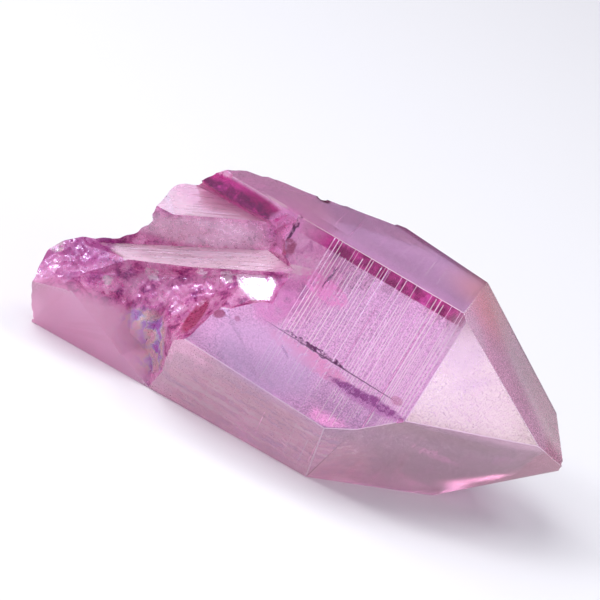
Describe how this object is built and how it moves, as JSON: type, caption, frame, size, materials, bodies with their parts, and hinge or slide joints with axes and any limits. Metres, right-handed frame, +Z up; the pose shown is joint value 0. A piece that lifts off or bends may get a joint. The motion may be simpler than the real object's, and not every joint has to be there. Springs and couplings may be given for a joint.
{
  "type": "aura quartz crystal",
  "caption": "Single quartz point with a pink aura coating, six-sided with a faceted tip and a ledged broken base, lying on a prism face.",
  "frame": {"origin": "centre of the bounding box, at the height of the surface the crystal lies on", "axes": "+X along the crystal towards its tip, +Z up from the prism face it rests on, +Y away from the broad front face"},
  "size_m": [0.091, 0.0426, 0.0383],
  "materials": {
    "aura_quartz": "clear quartz under a thin pink to violet metallic film, glossy with a fine satin bloom"
  },
  "bodies": {
    "root": {"crystal": "aura_quartz"}
  },
  "joints": []
}
